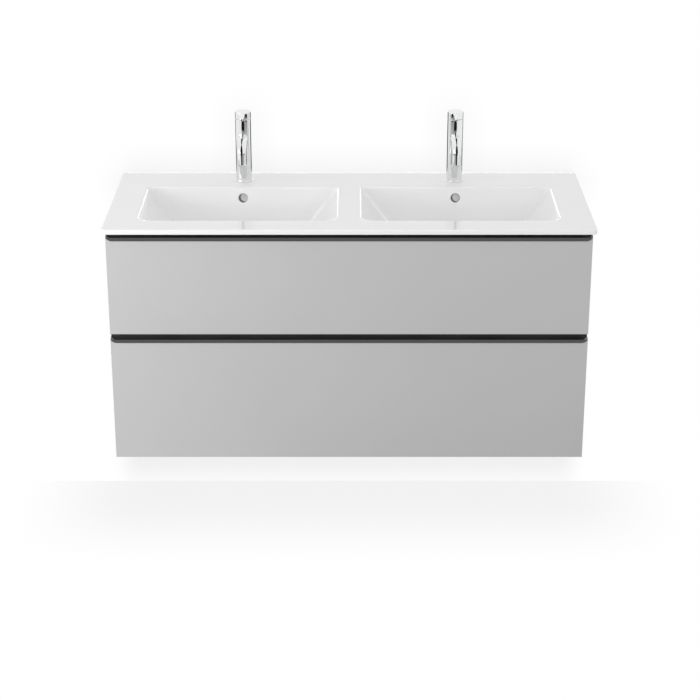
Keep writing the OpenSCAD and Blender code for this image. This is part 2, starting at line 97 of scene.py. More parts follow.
def noise(tree, scale, detail=3.0, stretch=(1, 1, 1), roughness=0.5):
    """Noise over the piece's own coordinates."""
    place = tree.nodes.new("ShaderNodeTexCoord")
    mapping = tree.nodes.new("ShaderNodeMapping")
    mapping.inputs["Scale"].default_value = stretch
    made = tree.nodes.new("ShaderNodeTexNoise")
    made.inputs["Scale"].default_value = scale
    made.inputs["Detail"].default_value = detail
    made.inputs["Roughness"].default_value = roughness
    tree.links.new(place.outputs["Object"], mapping.inputs["Vector"])
    tree.links.new(mapping.outputs["Vector"], made.inputs["Vector"])
    return made.outputs["Fac"]


def spread(tree, value, low, high, start=0.3, end=0.7):
    """A value from start to end turned into one from low to high."""
    made = tree.nodes.new("ShaderNodeMapRange")
    for name, number in (("From Min", start), ("From Max", end), ("To Min", low), ("To Max", high)):
        made.inputs[name].default_value = number
    tree.links.new(value, made.inputs["Value"])
    return made.outputs["Result"]


def mixed(tree, share, first, second):
    """A colour between two colours."""
    made = tree.nodes.new("ShaderNodeMix")
    made.data_type = "RGBA"
    made.inputs["A"].default_value = (*first, 1.0)
    made.inputs["B"].default_value = (*second, 1.0)
    tree.links.new(share, made.inputs["Factor"])
    return made.outputs["Result"]


def bumps(tree, layers):
    """A normal from layers of (height, strength, distance)."""
    normal = None
    for height, strength, distance in layers:
        made = tree.nodes.new("ShaderNodeBump")
        made.inputs["Strength"].default_value = strength
        made.inputs["Distance"].default_value = distance
        tree.links.new(height, made.inputs["Height"])
        if normal is not None:
            tree.links.new(normal, made.inputs["Normal"])
        normal = made.outputs["Normal"]
    return normal


def surface(name, colours, rough, tone, layers, **sockets):
    """A material whose colour and roughness follow noise. Its bump layers are (scale, detail, stretch, strength,
    distance)."""
    made, tree, output = node_tree(name)
    shader = tree.nodes.new("ShaderNodeBsdfPrincipled")
    tone_noise = noise(tree, *tone)
    share = spread(tree, tone_noise, 0, 1)
    tree.links.new(mixed(tree, share, *colours), shader.inputs["Base Color"])
    tree.links.new(spread(tree, tone_noise, *rough), shader.inputs["Roughness"])
    heights = [(noise(tree, scale, detail, stretch), strength, distance)
               for scale, detail, stretch, strength, distance in layers]
    tree.links.new(bumps(tree, heights), shader.inputs["Normal"])
    for socket, number in sockets.items():
        shader.inputs[socket.replace("_", " ")].default_value = number
    tree.links.new(shader.outputs["BSDF"], output.inputs["Surface"])
    return made


EVEN = (1, 1, 1)
materials = {
    "ceramic": surface(
        "glazed_ceramic", ((0.898, 0.899, 0.896), (0.910, 0.910, 0.908)), (0.06, 0.11), (7, 4),
        [(9, 2, EVEN, 0.05, 0.002), (420, 2, EVEN, 0.02, 0.0001)],
        IOR=1.52, Coat_Weight=0.3, Coat_Roughness=0.03),
    # Unglazed ceramic for the overflow's bore, made far darker than bisque: partly its own colour, mostly
    # painted shade inside the hole
    "raw_ceramic_and_painted_shade": surface(
        "raw_ceramic_and_painted_shade", ((0.20, 0.20, 0.195), (0.27, 0.27, 0.262)), (0.75, 0.9), (220, 5),
        [(900, 5, EVEN, 0.4, 0.0003)], IOR=1.45),
    "lacquer": surface(
        "matt_lacquer", ((0.522, 0.523, 0.522), (0.537, 0.538, 0.536)), (0.46, 0.54), (3, 5),
        [(1100, 3, EVEN, 0.10, 0.0002), (16, 2, EVEN, 0.02, 0.001)], IOR=1.45),
    "carcass": surface(
        "laminated_board", ((0.508, 0.509, 0.506), (0.527, 0.528, 0.525)), (0.50, 0.60), (5, 5),
        [(700, 4, (1, 0.35, 1), 0.14, 0.0002)], IOR=1.45),
    "anodised": surface(
        "anodised_aluminium", ((0.024, 0.023, 0.024), (0.034, 0.033, 0.034)), (0.42, 0.52),
        (60, 5, (0.15, 1, 1)),
        [(2600, 3, (0.03, 1, 1), 0.20, 0.0001)], IOR=1.65),
    "chrome": surface(
        "polished_chrome", ((0.800, 0.805, 0.812), (0.830, 0.835, 0.842)), (0.012, 0.026), (25, 4),
        [(40, 2, EVEN, 0.01, 0.0005)], Metallic=1.0),
    "steel": surface(
        "zinc_plated_steel", ((0.48, 0.49, 0.50), (0.60, 0.61, 0.62)), (0.28, 0.45), (90, 5, (1, 0.3, 1)),
        [(900, 3, (1, 0.15, 1), 0.15, 0.0002)], Metallic=1.0),
    "sealant": surface(
        "silicone_bead", ((0.83, 0.83, 0.82), (0.87, 0.87, 0.86)), (0.35, 0.5), (30, 3),
        [(160, 3, EVEN, 0.2, 0.0005)], IOR=1.42),
    "plastic": surface(
        "moulded_plastic", ((0.105, 0.105, 0.110), (0.135, 0.135, 0.140)), (0.42, 0.58), (45, 4),
        [(1500, 3, EVEN, 0.25, 0.0002)], IOR=1.49),
}

# ---- CAD nodes that stay: fine edges and their finish ----

slot_of = {row["node"]: row["material_slot"] for row in frame["record"]["subparts"]}
EDGE_R = {"lacquer": 0.9 * MM, "carcass": 0.6 * MM, "anodised": 0.35 * MM, "steel": 0.25 * MM,
          "plastic": 0.4 * MM, "chrome": 0.4 * MM, "sealant": 0.4 * MM, "ceramic": 1.0 * MM}


def soften(obj, width, segments=3):
    """Rounds the sharp edges of a piece, and shades the rest of it smooth."""
    obj.data.shade_smooth()
    obj.data.set_sharp_from_angle(angle=math.radians(24))
    edge = obj.modifiers.new("edges", "BEVEL")
    edge.width = width
    edge.segments = segments
    edge.limit_method = "ANGLE"
    edge.angle_limit = math.radians(40)
    edge.use_clamp_overlap = True
    edge.harden_normals = True


for name, obj in nodes.items():
    obj.data.materials.clear()
    obj.data.materials.append(materials[slot_of[name]])
    soften(obj, EDGE_R[slot_of[name]])

# ---- Mesh helpers, in millimetres ----


def add_piece(name, vertices, faces, slot, body=None, replaced=(), at=(0, 0, 0), sharp=28):
    """A piece from vertices in millimetres round the point at, in metres."""
    mesh = bpy.data.meshes.new(name)
    mesh.from_pydata((np.asarray(vertices, float) * MM + np.array(at)).tolist(), [], faces)
    work = bmesh.new()
    work.from_mesh(mesh)
    bmesh.ops.recalc_face_normals(work, faces=work.faces)
    work.to_mesh(mesh)
    work.free()
    mesh.materials.append(materials[slot])
    mesh.shade_smooth()
    mesh.set_sharp_from_angle(angle=math.radians(sharp))
    obj = bpy.data.objects.new(name, mesh)
    scene.collection.objects.link(obj)
    if body:
        settle(obj, body, replaced)
    return obj


def settle(obj, body, replaced):
    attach(obj, body)
    if replaced:
        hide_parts(*replaced)


def cut(obj, others, operation, sharp=28):
    """Boolean of obj with others, which are used up."""
    for other in others:
        step = obj.modifiers.new("cut", "BOOLEAN")
        step.operation = operation
        step.solver = "EXACT"
        step.material_mode = "TRANSFER"
        step.object = other
    bpy.context.view_layer.update()
    graph = bpy.context.evaluated_depsgraph_get()
    made = bpy.data.meshes.new_from_object(obj.evaluated_get(graph))
    obj.modifiers.clear()
    obj.data = made
    for other in others:
        bpy.data.objects.remove(other)
    made.shade_smooth()
    made.set_sharp_from_angle(angle=math.radians(sharp))
    return obj


def rounded(points, radii, step=12):
    """A polyline with its corners rounded, one radius for each point."""
    made = []
    points = [np.array(p, float) for p in points]
    for k, (p, r) in enumerate(zip(points, radii)):
        if r <= 0 or k in (0, len(points) - 1):
            made.append(p)
            continue
        a = (points[k - 1] - p) / np.linalg.norm(points[k - 1] - p)
        b = (points[k + 1] - p) / np.linalg.norm(points[k + 1] - p)
        half = math.acos(max(-1, min(1, float(a @ b)))) / 2
        reach = r / math.tan(half)
        centre = p + (a + b) / np.linalg.norm(a + b) * r / math.sin(half)
        first, last = p + a * reach - centre, p + b * reach - centre
        turn = math.pi - 2 * half
        count = max(2, math.ceil(math.degrees(turn) / step))
        for j in range(count + 1):
            w = j / count
            offset = math.sin((1 - w) * turn) * first + math.sin(w * turn) * last
            made.append(centre + offset / math.sin(turn))
    return np.array(made)


def ringed(points, spacing):
    """A polyline with extra points on its straights, so that reflections stay true next to a Boolean."""
    made = [np.array(points[0], float)]
    for p in points[1:]:
        start, p = made[-1], np.array(p, float)
        count = max(1, round(float(np.linalg.norm(p - start)) / spacing))
        made += [start + (p - start) * (k + 1) / count for k in range(count)]
    return made


def lathe(profile, segments=96):
    """A closed solid of revolution round Z, from (radius, height) points that start and end on the axis."""
    turn = np.linspace(0, 2 * math.pi, segments, endpoint=False)
    vertices, rings = [], []
    for r, z in profile:
        if r < 1e-6:
            rings.append([len(vertices)])
            vertices.append((0, 0, z))
        else:
            rings.append(range(len(vertices), len(vertices) + segments))
            vertices += [(r * math.cos(t), r * math.sin(t), z) for t in turn]
    faces = []
    for low, high in zip(rings, rings[1:]):
        if len(low) == 1 and len(high) == 1:
            continue
        for j in range(segments):
            n = (j + 1) % segments
            if len(low) == 1:
                faces.append((low[0], high[n], high[j]))
            elif len(high) == 1:
                faces.append((low[j], low[n], high[0]))
            else:
                faces.append((low[j], low[n], high[n], high[j]))
    return np.array(vertices), faces


def turned(vertices, angle):
    """Points turned round X."""
    return np.asarray(vertices) @ np.array(Matrix.Rotation(angle, 3, "X")).T


# ---- Washbasin ----

BOWL_HALF_W = 267.0
BOWL_BACK = 133.0
BOWL_FRONT = 416.0
BOWL_DEEP = 112.0
SIDE_LEAN, BACK_LEAN, FRONT_LEAN = 0.8, 0.25, 0.3
SHELL = 12.0
BACK_CREASE_R = 13.0
FRONT_CREASE_R = 42.0
FLOOR_R = 24.0
RIM_R = 6.0
CORNER_R = 8.0
EDGE_TOP_R = 3.0
EDGE_LOW_R = 2.0
EDGE_LINES = 7
BOSS_HALF_W = 30.2
BOSS_BACK = (110, 111, 112)
BOSS_FRONT = 150
half_w = basin_high.x / MM
basin_d = (basin_high.y - basin_low.y) / MM
bowl_mid_x = bowl_x / MM
rim_t = rim_h / MM


def round_max(a, b, cosine, r):
    """The greater of two plane distances, with the edge between the planes rounded to r."""
    a, b = a + r, b + r
    edge = (a > cosine * b) & (b > cosine * a)
    arc = np.sqrt(np.maximum(a * a + b * b - 2 * cosine * a * b, 0) / (1 - cosine ** 2))
    return np.where(edge, arc, np.maximum(a, b)) - r


def lean_parts(lean):
    length = math.hypot(1, lean)
    return 1 / length, lean / length


SIDE_COS, SIDE_SIN = lean_parts(SIDE_LEAN)
BACK_COS, BACK_SIN = lean_parts(BACK_LEAN)
FRONT_COS, FRONT_SIN = lean_parts(FRONT_LEAN)


def wall_distance(x, t, z, grow):
    """How far a point is outside the bowl's walls; x is from its middle line and t from the room's wall."""
    side = (np.abs(x) - BOWL_HALF_W - z * SIDE_LEAN) * SIDE_COS - grow
    back = (BOWL_BACK - z * BACK_LEAN - t) * BACK_COS - grow
    front = (t - BOWL_FRONT - z * FRONT_LEAN) * FRONT_COS - grow
    made = round_max(side, back, SIDE_SIN * BACK_SIN, BACK_CREASE_R + grow)
    return round_max(made, front, SIDE_SIN * FRONT_SIN, FRONT_CREASE_R + grow)


def slope(distance, z):
    return -(distance(z + 0.05) - distance(z - 0.05)) / 0.1


def bowl_distance(x, t, z, grow=0.0):
    """How far a point is outside the bowl."""
    walls = wall_distance(x, t, z, grow)
    lean = slope(lambda h: wall_distance(x, t, h, grow), z)
    return round_max(walls, -BOWL_DEEP - z - grow, np.clip(lean, 0, 0.9), FLOOR_R + grow)


def top_side(x, t, z):
    """Positive above the washbasin's upper face."""
    bowl = bowl_distance(x, t, z)
    lean = slope(lambda h: bowl_distance(x, t, h), z)
    return round_max(z, -bowl, np.clip(lean, 0, 0.9), RIM_R)


def solve(inside, x, t, low, high):
    """Height where inside turns from true to false, by halving."""
    low, high = np.full(x.shape, low), np.full(x.shape, high)
    for _ in range(34):
        z = (low + high) / 2
        deep = inside(x, t, z)
        low, high = np.where(deep, z, low), np.where(deep, high, z)
    return (low + high) / 2


def grid_line(stops):
    """Positions through stops of (end, spacing), from zero."""
    made = [0.0]
    for end, spacing in stops:
        start = made[-1]
        count = max(1, round((end - start) / spacing))
        made += [start + (end - start) * (k + 1) / count for k in range(count)]
    return made


def edge_steps(size):
    """Positions of the rounded outer edge, from where it starts to the side face."""
    return [size - EDGE_TOP_R + EDGE_TOP_R * math.sin(math.radians(a)) for a in (0, 18, 36, 54, 72, 90)]


inner, outer = bowl_mid_x - BOWL_HALF_W, bowl_mid_x + BOWL_HALF_W
half_bowl = grid_line([(inner - 4, 9), (inner + 4, 0.55), (inner + 24, 1.25), (inner + 76, 4),
                       (inner + 106, 2.5), (bowl_mid_x - 31, 9), (bowl_mid_x - 29, 1), (bowl_mid_x, 6)])
far_half = [2 * bowl_mid_x - x for x in reversed(half_bowl[:-1]) if x > inner - 4.5]
deck_side = grid_line([(half_w - outer - 4 - CORNER_R, 9), (half_w - outer - 4 - EDGE_TOP_R, 1.7)])[1:]
xs = half_bowl + far_half + [outer + 4 + d for d in deck_side] + edge_steps(half_w)[1:]
xs = np.array([-x for x in reversed(xs[1:])] + xs)

back_edge = [basin_d - t for t in reversed(edge_steps(basin_d))]
ts = grid_line([(CORNER_R - EDGE_TOP_R, 1.7), (97, 9), (110, 3.5), (112, 0.7), (BOWL_BACK - 6, 4),
                (BOWL_BACK + 2, 0.5), (BOWL_BACK + 22, 1.1), (182, 1.6), (356, 8), (BOWL_FRONT - 26, 1.6),
                (BOWL_FRONT - 4, 1.2), (BOWL_FRONT + 5, 0.5), (basin_d - CORNER_R - EDGE_TOP_R, 8),
                (basin_d - 2 * EDGE_TOP_R, 1.7)])[1:]
ts = np.array(back_edge + [EDGE_TOP_R + t for t in ts] + edge_steps(basin_d)[1:])
grid_x, grid_t = np.meshgrid(xs, ts, indexing="ij")
from_bowl = np.abs(grid_x) - bowl_mid_x
top_z = solve(lambda x, t, z: top_side(x, t, z) < 0, from_bowl, grid_t, -BOWL_DEEP - 2, 1.0)


def corner_reach(x, t):
    """How far a point is past the lines that the corner rounding starts from."""
    a = np.maximum(np.abs(x) - (half_w - CORNER_R), 0)
    b = np.maximum(np.abs(t - basin_d / 2) - (basin_d / 2 - CORNER_R), 0)
    return a, b, np.maximum(a, b)


def corner_warp(x, t):
    """Turns the square corners of the plan into round ones."""
    a, b, reach = corner_reach(x, t)
    squeeze = np.where((a > 0) & (b > 0), reach / np.maximum(np.hypot(a, b), 1e-9), 1.0)
    return x - np.sign(x) * a * (1 - squeeze), t - np.sign(t - basin_d / 2) * b * (1 - squeeze)


def edge_drop(reach, r):
    over_edge = np.clip(reach - (CORNER_R - r), 0, r)
    return r - np.sqrt(np.maximum(r * r - over_edge ** 2, 0))


reach = corner_reach(grid_x, grid_t)[2]
top_z = np.minimum(top_z, 0) - edge_drop(reach, EDGE_TOP_R)

# The underside has fewer lines, among them those of the overflow's boss

def kept_lines(lines, places):
    """Which lines the underside keeps: both edges, every third one and the nearest to each place."""
    count = len(lines)
    return sorted({*range(EDGE_LINES), *range(count - EDGE_LINES, count), *range(0, count, 3)}
                  | {int(np.argmin(np.abs(lines - place))) for place in places})


keep_x = kept_lines(xs, [side * bowl_mid_x + w for side in (-1, 1) for w in (-31, -30, -29, 29, 30, 31)])
keep_t = kept_lines(ts, BOSS_BACK)
low_x, low_t = np.meshgrid(xs[keep_x], ts[keep_t], indexing="ij")
low_from = np.abs(low_x) - bowl_mid_x
low_z = solve(lambda x, t, z: bowl_distance(x, t, z, SHELL) > 0, low_from, low_t, -BOWL_DEEP - 20, 5.0)
low_z = np.minimum(low_z, -rim_t)
boss = (np.abs(low_from) < BOSS_HALF_W) & (low_t > BOSS_BACK[1] - 0.2) & (low_t < BOSS_FRONT)
low_z = np.where(boss, np.minimum(low_z, -BOWL_DEEP), low_z)
low_reach = corner_reach(low_x, low_t)[2]
low_z = low_z + edge_drop(low_reach, EDGE_LOW_R)
top_px, top_pt = corner_warp(grid_x, grid_t)
low_px, low_pt = corner_warp(low_x, low_t)

nx, nt = grid_x.shape
top_points = np.stack([top_px, -top_pt, top_z], -1).reshape(-1, 3)
low_points = np.stack([low_px, -low_pt, low_z], -1).reshape(-1, 3)
top_index = np.arange(nx * nt).reshape(nx, nt)
low_index = nx * nt + np.arange(low_x.size).reshape(low_x.shape)


def grid_faces(index):
    """Four-sided faces over a grid of vertex numbers."""
    corners = index[:-1, :-1], index[:-1, 1:], index[1:, 1:], index[1:, :-1]
    return [tuple(face) for face in np.stack(corners, -1).reshape(-1, 4).tolist()]


faces = grid_faces(top_index) + [face[:1] + face[:0:-1] for face in grid_faces(low_index)]


def outer_wall(top_line, low_line, keep):
    """Triangles between an outer line of the upper face and the sparser one of the underside."""
    made = []
    for k, (first, last) in enumerate(zip(keep, keep[1:])):
        upper, corner = [int(v) for v in top_line[first:last + 1]], int(low_line[k])
        made += [(corner, u, v) for u, v in zip(upper, upper[1:])]
        made.append((corner, upper[-1], int(low_line[k + 1])))
    return made


for end in (0, -1):
    faces += outer_wall(top_index[:, end], low_index[:, end], keep_x)
    faces += outer_wall(top_index[end], low_index[end], keep_t)
basin = add_piece("washbasin_glazed", np.vstack([top_points, low_points]), faces, "ceramic",
                  at=(0, 0, deck_z))


def flared_hole(radius, deep, flare, inside_r=0.0, inside_deep=0.0):
    """A cutter for a round hole with a rounded mouth, and a smaller hole below it where one is given."""
    arc = [(radius + flare - flare * math.cos(math.radians(a)), -flare + flare * math.sin(math.radians(a)))
           for a in (0, 16, 32, 48, 64, 80)]
    low = [(0, -inside_deep), (inside_r, -inside_deep), (inside_r, -deep)] if inside_r else [(0, -deep)]
    return lathe(low + [(radius, -deep)] + arc + [(arc[-1][0], 6), (0, 6)])


cutters = []
floor_z = deck_z - BOWL_DEEP * MM
OVERFLOW_DROP = 30.0
OVERFLOW_R = 13.0
OVERFLOW_DEEP = 13.0
OVERFLOW_LIP = 2.0
OVERFLOW_FLARE = 1.6
OVERFLOW_SLANT = (0.50, 0.15)
SEAT_R = 32.0
SEAT_DEEP = 4.0
SEAT_FLARE = 2.0
WASTE_HOLE_R = 23.0
WASTE_HOLE_DEEP = 30.0
TAP_HOLE_R = 17.5
for side in (-1, 1):
    seat, seat_faces = flared_hole(SEAT_R, SEAT_DEEP, SEAT_FLARE, WASTE_HOLE_R, WASTE_HOLE_DEEP)
    cutters.append(add_piece("cut_seat", seat, seat_faces, "ceramic",
                             at=(side * bowl_x, waste_axis.y, floor_z)))
    hole, hole_faces = flared_hole(OVERFLOW_R, OVERFLOW_DEEP, OVERFLOW_FLARE)
    below = np.minimum(hole[:, 2] + OVERFLOW_LIP, 0)
    hole[:, 0] -= OVERFLOW_SLANT[0] * below
    hole[:, 1] -= OVERFLOW_SLANT[1] * below
    hole = turned(hole, math.pi / 2 - math.atan(BACK_LEAN))
    mouth = (side * bowl_x, -(BOWL_BACK + OVERFLOW_DROP * BACK_LEAN) * MM, deck_z - OVERFLOW_DROP * MM)
    made = add_piece("cut_overflow", hole, hole_faces, "ceramic", at=mouth)
    # The bore's walls take the dark unglazed colour, painted shade inside the hole; its mouth and floor stay
    # glazed
    made.data.materials.append(materials["raw_ceramic_and_painted_shade"])
    into = Vector((0, BACK_COS, -BACK_SIN))
    for face in made.data.polygons:
        depth = (face.center - Vector(mouth)).dot(into) / MM
        face.material_index = int(OVERFLOW_LIP < depth < OVERFLOW_DEEP - 0.1)
    cutters.append(made)
    bore, bore_faces = lathe([(0, -30), (TAP_HOLE_R, -30), (TAP_HOLE_R, 5), (0, 5)])
    cutters.append(add_piece("cut_tap", bore, bore_faces, "ceramic",
                             at=(side * tap_axis.x, tap_axis.y, deck_z)))
cut(basin, cutters, "DIFFERENCE")
settle(basin, "cabinet", ["washbasin"])

# ---- Taps ----

TAP_R = 22.0
RING_R = 25.0
RING_H = 4.0
SPOUT_R = 14.0
SPOUT_Z = 129.0
SPOUT_REACH = 87.0
ELBOW_R = 24.0
MOUTH_Z = 72.0
AERATOR_R = 12.0
CAP_LOW = tap_high / MM - 19.5
BODY_TOP = CAP_LOW - 0.5
CAP_TOP = tap_high / MM
LEVER_HALF = 7.25
NECK_R = 18.0
NECK_DEEP = 33.0
CAP_WALL = 6.0
MOUTH_DEEP = 8.0
# The spout's lip, as (height over the mouth, radius)
LIP = ((1.2, SPOUT_R), (0.75, 13.91), (0.35, 13.65), (0.1, 13.25), (0.0, 12.8), (0.05, 12.35), (0.4, AERATOR_R))
LIFT_ROOM = 21
BLOCK_FACES = [(0, 1, 3, 2), (4, 6, 7, 5), (0, 4, 5, 1), (2, 3, 7, 6), (0, 2, 6, 4), (1, 5, 7, 3)]
TURNS = 128
LEVER_REACH = 75.0
RING_GAP = 4.0


def tube_along(path, radii, segments=72):
    """A round solid along a path in the YZ plane, closed at both ends where its radius is zero."""
    path = np.asarray(path, float)
    vertices, rings = [], []
    turn = np.linspace(0, 2 * math.pi, segments, endpoint=False)
    for k, (p, r) in enumerate(zip(path, radii)):
        ahead = path[min(k + 1, len(path) - 1)] - path[max(k - 1, 0)]
        # Where the path turns back on itself the rings keep facing the same way, so that the wall isn't twisted
        if k and ahead @ last <= 0:
            ahead = last
        last = ahead / np.linalg.norm(ahead)
        across = np.array([last[1], -last[0]])
        if r < 1e-6:
            rings.append([len(vertices)])
            vertices.append((0, p[0], p[1]))
            continue
        rings.append(range(len(vertices), len(vertices) + segments))
        vertices += [(r * math.cos(t), *(p + across * r * math.sin(t))) for t in turn]
    made = []
    for low, high in zip(rings, rings[1:]):
        for j in range(segments):
            n = (j + 1) % segments
            if len(low) == 1:
                made.append((low[0], high[n], high[j]))
            elif len(high) == 1:
                made.append((low[j], low[n], high[0]))
            else:
                made.append((low[j], low[n], high[n], high[j]))
    return np.array(vertices), made


def lever_bar():
    """The lever's bar: flat, a little narrower and thinner to its round tip, with soft edges."""
    root_y, top, thick, edge = -TAP_R + 4.0, CAP_TOP - 1.0, 10.0, 1.6
    taper, thinner, tip_reach, straight_steps, tip_steps = 1.05, 3.6, 9.0, 14, 12
    outline = []
    for k in range(straight_steps + 1):
        y = root_y + (-LEVER_REACH + tip_reach - root_y) * k / straight_steps
        outline.append((LEVER_HALF - taper * k / straight_steps, y))
    tip = outline[-1]
    for k in range(1, tip_steps + 1):
        a = math.pi / 2 * k / tip_steps
        half = tip[0] * math.cos(a) ** 0.8 if k < tip_steps else 0.0
        outline.append((half, tip[1] - tip_reach * math.sin(a)))
    outline += [(-x, y) for x, y in reversed(outline[:-1])]
    outline = np.array(outline)
    ahead = np.roll(outline, -1, 0) - np.roll(outline, 1, 0)
    ahead /= np.linalg.norm(ahead, axis=1)[:, None]
    normal = np.stack([ahead[:, 1], -ahead[:, 0]], 1)
    inward = -normal if (normal * (outline - outline.mean(0))).sum() > 0 else normal
    rings = []
    for a in (90, 67, 45, 22, 0):
        s, c = math.sin(math.radians(a)), math.cos(math.radians(a))
        rings.append((edge * (1 - c), edge * (1 - s)))
    rings += [(r, thick - h) for r, h in reversed(rings)]
    vertices, made = [], []
    n = len(outline)
    for inset, h in rings:
        plan = outline + inward * inset
        plan[:, 1] = np.minimum(plan[:, 1], root_y)
        share = (plan[:, 1] - root_y) / (-LEVER_REACH - root_y)
        low = top - thick + thinner * share
        vertices += [(x, y, lo + (top - lo) * h / thick) for (x, y), lo in zip(plan, low)]
    for k in range(len(rings) - 1):
        for j in range(n):
            m = (j + 1) % n
            made.append((k * n + j, k * n + m, (k + 1) * n + m, (k + 1) * n + j))
    made.append(list(range(n)))
    made.append([(len(rings) - 1) * n + j for j in range(n)])
    return np.array(vertices), made


for sign, side in ((-1, "left"), (1, "right")):
    at = (sign * tap_axis.x, tap_axis.y, deck_z)
    body_profile = rounded([(0, 0), (TAP_R, 0), (TAP_R, BODY_TOP), (NECK_R, BODY_TOP),
                            (NECK_R, BODY_TOP - NECK_DEEP), (0, BODY_TOP - NECK_DEEP)], [0, 0, 1.0, 0.3, 0, 0])
    body = add_piece(f"tap_body_{side}_polished", *lathe(ringed(body_profile, RING_GAP), TURNS), "chrome",
                     at=at)
    bend = [(-SPOUT_REACH + ELBOW_R - ELBOW_R * math.sin(a), SPOUT_Z - ELBOW_R + ELBOW_R * math.cos(a))
            for a in np.linspace(0, math.pi / 2, 25)]
    inside_body = [(-1, SPOUT_Z), (-1.5, SPOUT_Z), (-12, SPOUT_Z)]
    path = inside_body[:1] + ringed([*inside_body[1:], bend[0]], RING_GAP)[:-1] + bend
    path += ringed([bend[-1], (-SPOUT_REACH, MOUTH_Z + LIP[0][0])], RING_GAP)[1:-1]
    radii = [0] + [SPOUT_R] * (len(path) - 1)
    # The lip turns back up into the mouth, and the bore ends in a flat floor
    for rise, r in (*LIP, (MOUTH_DEEP, AERATOR_R), (MOUTH_DEEP, 0)):
        path.append((-SPOUT_REACH, MOUTH_Z + rise))
        radii.append(r)
    arm = add_piece("join_spout", *tube_along(path, radii), "chrome", at=at)
    cut(body, [arm], "UNION")
    settle(body, "cabinet", [f"tap_body_{side}"])

    ring_in = TAP_R + 0.05
    ring_profile = rounded([(TAP_R - 1, 0.0), (RING_R, 0.0), (RING_R, RING_H), (ring_in, RING_H),
                            (ring_in, 0.0)], [0, 0.3, 1.1, 0.25, 0])
    vertices = [(r * math.cos(t), r * math.sin(t), z) for r, z in ring_profile[1:]
                for t in np.linspace(0, 2 * math.pi, TURNS, endpoint=False)]
    rows = len(ring_profile) - 1
    made = []
    for k in range(rows):
        low, high = k * TURNS, (k + 1) % rows * TURNS
        made += [(low + j, low + n, high + n, high + j) for j in range(TURNS) for n in [(j + 1) % TURNS]]
    add_piece(f"tap_ring_{side}_polished", vertices, made, "chrome", "cabinet", [f"tap_ring_{side}"], at)

    cap_profile = rounded([(0, CAP_TOP), (TAP_R, CAP_TOP), (TAP_R, CAP_LOW), (NECK_R, CAP_LOW),
                           (NECK_R, CAP_TOP - CAP_WALL), (0, CAP_TOP - CAP_WALL)], [0, 1.2, 1.0, 0.3, 0, 0])
    cap = add_piece(f"tap_lever_{side}_polished", *lathe(ringed(cap_profile, RING_GAP), TURNS), "chrome",
                    at=at)
    bar = add_piece("join_bar", *lever_bar(), "chrome", at=at)
    # Room under the back of the cap, so that it clears the body as the lever lifts
    room = [(x, y, z) for x in (-40, 40) for y in (-1.0, 60) for z in (-30, 0)]
    room = turned(room, math.radians(LIFT_ROOM)) + (0, 0, CAP_LOW - 1)
    wedge = add_piece("cut_room", room, BLOCK_FACES, "chrome", at=at)
    cut(cap, [wedge], "DIFFERENCE")
    cut(cap, [bar], "UNION")
    settle(cap, f"tap_lever_{side}", [f"tap_lever_{side}"])

# ---- Stage ----


def pane(name, corners, material):
    """A flat sheet that isn't part of the object."""
    mesh = bpy.data.meshes.new(name)
    mesh.from_pydata(corners, [], [tuple(range(len(corners)))])
    mesh.materials.append(material)
    obj = bpy.data.objects.new(name, mesh)
    scene.collection.objects.link(obj)
    return obj


def link(tree, node, socket, value):
    if isinstance(value, (int, float)):
        node.inputs[socket].default_value = value
    else:
        tree.links.new(value, node.inputs[socket])


def smooth(tree, value, start, end, low, high):
    """Soft step from low to high as the value goes from start to end."""
    step = tree.nodes.new("ShaderNodeMapRange")
    step.interpolation_type = "SMOOTHSTEP"
    for socket, number in (("From Min", start), ("From Max", end), ("To Min", low), ("To Max", high)):
        step.inputs[socket].default_value = number
    tree.links.new(value, step.inputs["Value"])
    return step.outputs["Result"]


def math_node(tree, operation, first, second=0.0):
    step = tree.nodes.new("ShaderNodeMath")
    step.operation = operation
    link(tree, step, 0, first)
    link(tree, step, 1, second)
    return step.outputs[0]


def one_sided(name, strength_of):
    """Glow on the front of a sheet; its back is clear. strength_of gets the tree and the X, Y and Z sockets."""
    made, tree, output = node_tree(name)
    place = tree.nodes.new("ShaderNodeTexCoord")
    parts = tree.nodes.new("ShaderNodeSeparateXYZ")
    tree.links.new(place.outputs["Object"], parts.inputs[0])
    light = tree.nodes.new("ShaderNodeEmission")
    link(tree, light, "Strength", strength_of(tree, *parts.outputs))
    clear = tree.nodes.new("ShaderNodeBsdfTransparent")
    facing = tree.nodes.new("ShaderNodeNewGeometry")
    choice = tree.nodes.new("ShaderNodeMixShader")
    tree.links.new(facing.outputs["Backfacing"], choice.inputs["Fac"])
    tree.links.new(light.outputs[0], choice.inputs[1])
    tree.links.new(clear.outputs[0], choice.inputs[2])
    tree.links.new(choice.outputs[0], output.inputs["Surface"])
    return made


def hide_from(obj, *rays):
    for ray in rays:
        setattr(obj, "visible_" + ray, False)


FLOOR_Z = -0.948
WALL_Y = 0.0015


def floor_strength(tree, x, y, z):
    """White floor with a wide soft shade along the wall."""
    side = math_node(tree, "ABSOLUTE", x)
    deep = smooth(tree, y, -0.52, -0.10, 0.0, 0.110)
    shade = math_node(tree, "MULTIPLY", deep, smooth(tree, side, 0.60, 1.04, 1.0, 0.0))
    return math_node(tree, "SUBTRACT", 1.0, shade)


